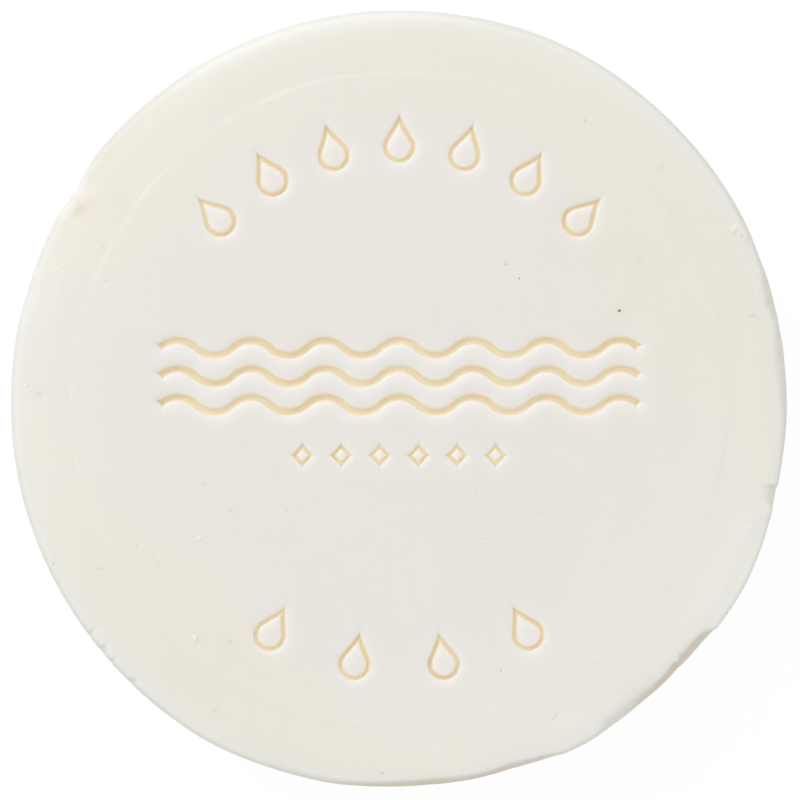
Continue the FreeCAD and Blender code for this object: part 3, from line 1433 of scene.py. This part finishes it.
    def _close(self, mesh: bpy.types.Mesh) -> None:
        """Joins the underside to the wall.

        Args:
            mesh: the mesh, whose open borders meet at the foot.
        """
        shell = bmesh.new()
        shell.from_mesh(mesh)
        border = [vertex for vertex in shell.verts if vertex.is_boundary]
        bmesh.ops.remove_doubles(shell, verts=border, dist=0.02 * MM)
        open_edges = sum(1 for edge in shell.edges if edge.is_boundary)
        LOG.info("%s: %d faces, %d open edges", mesh.name, len(shell.faces), open_edges)
        shell.to_mesh(mesh)
        shell.free()


@dataclass(frozen=True)
class Scrap:
    """One fleck: its place, its length and the direction of that, and its width over its length."""

    place: Pair
    size: float
    turn: float = 0.0
    slim: float = 0.75


@dataclass
class Scraps:
    """A group of flecks that lie in the face, joined as one piece.

    Attributes:
        form: the cake that they lie in.
        height: a fleck's height over its length.
        proud: the share of its height that stands above the face.
        ragged: how far its outline departs from round.
    """

    name: str
    scraps: tuple[Scrap, ...]
    form: CakeForm
    height: float
    proud: float
    ragged: float = 0.45

    def build(self, finish: bpy.types.Material) -> bpy.types.Object:
        """Builds the group and dresses it.

        Args:
            finish: the flecks' material.

        Returns:
            The piece.
        """
        group = bmesh.new()
        seats, _ = self.form.fold(np.array([scrap.place for scrap in self.scraps]))
        for index, (scrap, seat) in enumerate(zip(self.scraps, seats)):
            made = bmesh.ops.create_icosphere(group, subdivisions=2, radius=0.5)
            thick = scrap.size * self.height
            low = Vector(seat) + Vector((0, 0, thick * (self.proud - 0.5)))
            shape = Matrix.Translation(low) @ Matrix.Rotation(math.radians(scrap.turn), 4, "Z")
            shape = shape @ Matrix.Diagonal((scrap.size, scrap.size * scrap.slim, thick, 1.0))
            for vertex in made["verts"]:
                bulge = 1 + self.ragged * noise.noise(vertex.co * 2.6 + Vector((index * 3.1, 7.7, 0.3)))
                vertex.co = (shape @ (vertex.co * bulge)) * MM
        mesh = bpy.data.meshes.new(self.name)
        group.to_mesh(mesh)
        group.free()
        return put_soap(mesh, finish)


@dataclass
class Studio:
    """A paper sweep, a pale sky, one soft lamp and the camera.

    Attributes:
        edge_z: the height of the puck's outline as the camera sees it.
        sky: the sky's strength as the object sees it.
        key: the share of light on a level surface that the lamp gives.
        key_height: the lamp's height over the horizon, in degrees.
        key_far: from the puck to the lamp, whose side is key_size.
        paper: how much light the paper throws back at the puck, and into the camera.
        glow: how much light of its own the camera sees in the paper.
        sweep: half the side of the paper, in metres.
        view_width: how much the camera sees from side to side at the puck's outline.
        aim: the point over which the camera hangs.
    """

    edge_z: float
    sky: float = 0.825
    key: float = 0.195
    key_bearing: float = 129.0
    key_height: float = 42.0
    key_far: float = 900.0
    key_size: float = 420.0
    paper: Pair = (0.55, 0.12)
    glow: float = 0.90
    sweep: float = 4.0
    lens: float = 100.0
    sensor: float = 36.0
    view_width: float = 82.28
    aim: Pair = (0.10, -0.04)

    def build(self) -> None:
        """Makes the sweep, the sky, the lamp and the camera."""
        self._sweep()
        self._world()
        self._lamp()
        self._camera()
        bpy.context.scene.view_settings.view_transform = "Standard"

    def _seen(self, add: Adder) -> Socket:
        """Tells apart the rays that show the surroundings: from the camera, off gloss or through glass.

        Args:
            add: adds a node to the tree.

        Returns:
            1 for those rays, and 0 for the rest.
        """
        path = add("LightPath", {}).node.outputs
        gloss = add("Math", {0: path["Is Camera Ray"], 1: path["Is Glossy Ray"]}, operation="MAXIMUM")
        return add("Math", {0: gloss, 1: path["Is Transmission Ray"]}, operation="MAXIMUM")

    def _sweep(self) -> None:
        """A matt white paper floor, which looks white and keeps a faint shadow."""
        paper = bpy.data.materials.new("matt_white_paper")
        add = start_tree(paper)
        seen = self._seen(add)
        thrown, shown = self.paper
        white = add("MapRange", {"Value": seen, "To Min": thrown, "To Max": shown})
        matt = add("BsdfDiffuse", {"Color": white})
        lit = add("Math", {0: seen, 1: self.glow}, operation="MULTIPLY")
        glow = add("Emission", {"Color": linear(Tone.PAPER), "Strength": lit})
        add("OutputMaterial", {"Surface": add("AddShader", {0: matt, 1: glow})})
        mesh = bpy.data.meshes.new("sweep")
        corners = [(x * self.sweep, y * self.sweep, 0) for x, y in ((-1, -1), (1, -1), (1, 1), (-1, 1))]
        mesh.from_pydata(corners, [], [(0, 1, 2, 3)])
        mesh.materials.append(paper)
        floor = put("sweep", mesh)

    def _world(self) -> None:
        """An even pale sky that looks white."""
        world = bpy.data.worlds.new("pale_sky")
        bpy.context.scene.world = world
        add = start_tree(world)
        strength = add("MapRange", {"Value": self._seen(add), "To Min": self.sky, "To Max": 1.0})
        sky = add("Background", {"Color": linear(Tone.PAPER), "Strength": strength})
        add("OutputWorld", {"Surface": sky})

    def _lamp(self) -> None:
        """A soft square lamp, up and to the left of the face."""
        bearing, height = math.radians(self.key_bearing), math.radians(self.key_height)
        level = Vector((math.cos(bearing), math.sin(bearing), 0.0)) * math.cos(height)
        away = level + Vector((0.0, 0.0, math.sin(height)))
        far = self.key_far * MM
        lamp = bpy.data.lights.new("key", "AREA")
        lamp.shape = "SQUARE"
        lamp.size = self.key_size * MM
        # A lamp's watts spread over pi steradians, and a white surface sends back 1/pi of what it gets.
        lamp.energy = self.key * math.pi**2 * far**2 / math.sin(height)
        key = put("key", lamp)
        key.location = away * far
        key.rotation_euler = away.to_track_quat("Z", "Y").to_euler()

    def _camera(self) -> None:
        """A long lens that looks straight down, with +Y up the picture."""
        camera = bpy.data.cameras.new("camera")
        camera.lens = self.lens
        camera.sensor_width = self.sensor
        camera.clip_start = 0.005
        camera.clip_end = 20.0
        far = self.view_width * self.lens / self.sensor
        seat = put("camera", camera)
        seat.location = Vector((*self.aim, self.edge_z + far)) * MM
        bpy.context.scene.camera = seat


def random_pits(form: CakeForm, count: int, seed: int) -> tuple[Pit, ...]:
    """Scatters small hollows over the face, clear of every stroke.

    Args:
        form: the cake's surface, with its strokes.
        count: how many hollows to make.
        seed: the seed of their places and sizes.

    Returns:
        The hollows.
    """
    draw = random.Random(seed)
    strokes = [*form.pattern, *form.scratches]
    pits: list[Pit] = []
    while len(pits) < count:
        radius = form.roll_start * math.sqrt(draw.random())
        angle = draw.uniform(0, 2 * math.pi)
        place = (radius * math.cos(angle), radius * math.sin(angle))
        size = draw.uniform(0.10, 0.24)
        clear = min(float(stroke.outside(np.array([place]))[0]) for stroke in strokes) > 1.2
        clear &= all(math.dist(place, other.place) > 1.0 for other in pits)
        clear &= abs(radius - form.plate_radius) > 0.8
        if clear:
            pits.append(Pit(place, size, size * draw.uniform(0.15, 0.4)))
    return tuple(pits)


def light_scratches() -> list[Stroke]:
    """The marks that handling has left in the face, each a chain of arcs.

    Returns:
        The strokes.
    """
    hair = Groove(0.17, 0.04, 0.018, 0.0, 0.16)
    broad = Groove(0.24, 0.08, 0.05, 0.0, 0.2)
    deep = Groove(0.22, 0.06, 0.12, 0.0, 0.2)
    clear = Groove(0.20, 0.05, 0.035, 0.0, 0.18)
    chains = (
        (deep, [(15.5, -32.6), (15.9, -32.55), (16.1, -32.1)], [-0.05, -0.06]),
        (clear, [(-17.6, -22.9), (-14.9, -21.2)], [0.15]),
        (broad, [(-37.9, 10.4), (-38.3, 8.2)], [0.05]),
        (hair, [(18.2, 27.2), (20.0, 26.9), (22.0, 28.3)], [-0.1, -0.2]),
        (hair, [(27.6, 25.1), (30.9, 26.4)], [-0.35]),
        (hair, [(34.4, 7.7), (37.0, 8.7)], [0.2]),
        (hair, [(22.4, -21.6), (25.3, -22.0)], [-0.3]),
        (hair, [(10.6, -9.9), (20.0, -11.2)], [0.5]),
        (hair, [(12.4, -11.9), (19.2, -10.3)], [-0.4]),
        (hair, [(-5.6, 35.6), (-0.5, 36.5)], [0.2]),
        (hair, [(3.4, 35.4), (6.2, 34.2)], [0.1]),
        (hair, [(0.4, -35.4), (1.3, -34.7)], [0.1]),
        (broad, [(36.6, 12.6), (37.4, 12.1)], [0.06]),
        (hair, [(-33.3, 10.2), (-33.9, 8.0)], [0.05]),
    )
    return [ArcLine(groove, tuple(map(Arc, points, points[1:], bows))) for groove, points, bows in chains]


# What lies in the face: crumbs, hollows with some stain, and dark, dull and warm flecks.
CRUMBS = rows(
    Crumb,
    ((-20.8, -24.3), 0.95, 110, 0.6, 0.09), ((-20.5, -14.2), 0.75, 20, 0.5, 0.07),
    ((-24.5, -16.2), 0.70, 70, 0.6, 0.04), ((-27.7, -14.4), 0.40, 0, 0.7, 0.05),
    ((8.7, -14.6), 0.45, 30, 0.6, 0.05), ((31.3, 24.1), 0.30, 60, 0.6, 0.06),
    ((34.8, 6.4), 0.28, 10, 0.7, 0.10), ((34.3, 17.6), 1.15, 60, 0.6, 0.05),
    ((36.3, 8.2), 0.55, 10, 0.5, 0.04), ((35.9, -13.0), 0.50, 0, 0.6, 0.08),
    ((-35.2, 13.3), 0.40, 30, 0.7, 0.06), ((-38.2, 1.5), 0.45, 0, 0.8, 0.05),
)
PITS = rows(
    Pit,
    ((-33.0, 19.6), 1.1, 0.04, 0.46), ((-32.1, 20.3), 1.1, 0.02, 0.16), ((35.2, 16.8), 0.24, 0.10, 0.5),
    ((35.8, 16.1), 0.55, 0.08, 0.25), ((36.0, 8.5), 0.40, 0.04, 0.12),
    ((-26.8, -14.9), 0.28, 0.05, 0.2),
)
DARK = rows(Scrap, ((22.5, 9.1), 0.50, 30), ((18.9, 28.5), 0.22, 10), ((12.3, 12.4), 0.26, 80))
DULL_SPOTS = rows(
    Scrap,
    ((-30.0, 12.2), 0.20, 50), ((-30.4, -17.2), 0.26, 20), ((-35.3, -16.8), 0.19, 20),
    ((-17.2, -11.3), 0.19, 60), ((10.4, -27.7), 0.24, 15), ((-1.7, -38.2), 0.23, 0),
    ((7.9, -9.4), 0.17, 40), ((-8.6, -10.3), 0.14, 70), ((-20.9, -17.2), 0.15, 70),
)
WARM = rows(
    Scrap,
    ((10.9, 13.9), 0.42, 20), ((24.5, 14.3), 0.40, 60), ((-17.3, -24.7), 0.40, 0),
    ((-11.8, -33.7), 0.26, 40), ((-18.6, -31.6), 0.80, 165, 0.2), ((26.8, 23.7), 0.80, 80, 0.14),
    ((33.4, 9.0), 0.60, 160, 0.25), ((36.4, 8.6), 0.65, 15, 0.15), ((-30.3, 15.7), 0.38, 30),
    ((-36.9, 0.55), 0.80, -20, 0.3),
)


def main() -> None:
    """Builds the puck, what lies in its face, and the studio."""
    logging.basicConfig(level=logging.INFO, format="%(message)s")
    low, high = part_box(NODE)
    form = CakeForm(radius=(high[0] - low[0]) / 2 / MM, thickness=(high[2] - low[2]) / MM)
    form.pattern = PressedPattern().strokes()
    form.scratches = light_scratches()
    form.crumbs = CRUMBS
    form.pits = (*PITS, *random_pits(form, count=34, seed=7))
    cake = PressedCake(form).build(MilledSoap().material())
    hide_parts(NODE)
    scorched = SoapFleck("overdried_soap_fleck", Tone.SCORCHED, Tone.SINGED).material()
    faded = SoapFleck("dull_soap_fleck", Tone.DULL, Tone.DULL_THIN).material()
    oily = SoapFleck("perfume_oil_fleck", Tone.OILY, Tone.OILY_THIN).material()
    pieces = [
        cake,
        Scraps("dark_flecks", DARK, form, height=0.5, proud=0.16).build(scorched),
        Scraps("dull_flecks", DULL_SPOTS, form, height=0.5, proud=0.16).build(faded),
        Scraps("warm_flecks", WARM, form, height=0.2, proud=0.2).build(oily),
    ]
    for piece in pieces:
        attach(piece, BODY)
        LOG.info("%s rides on %s", piece.name, BODY)
    Studio(form.edge_z).build()


if __name__ == "__main__":
    main()
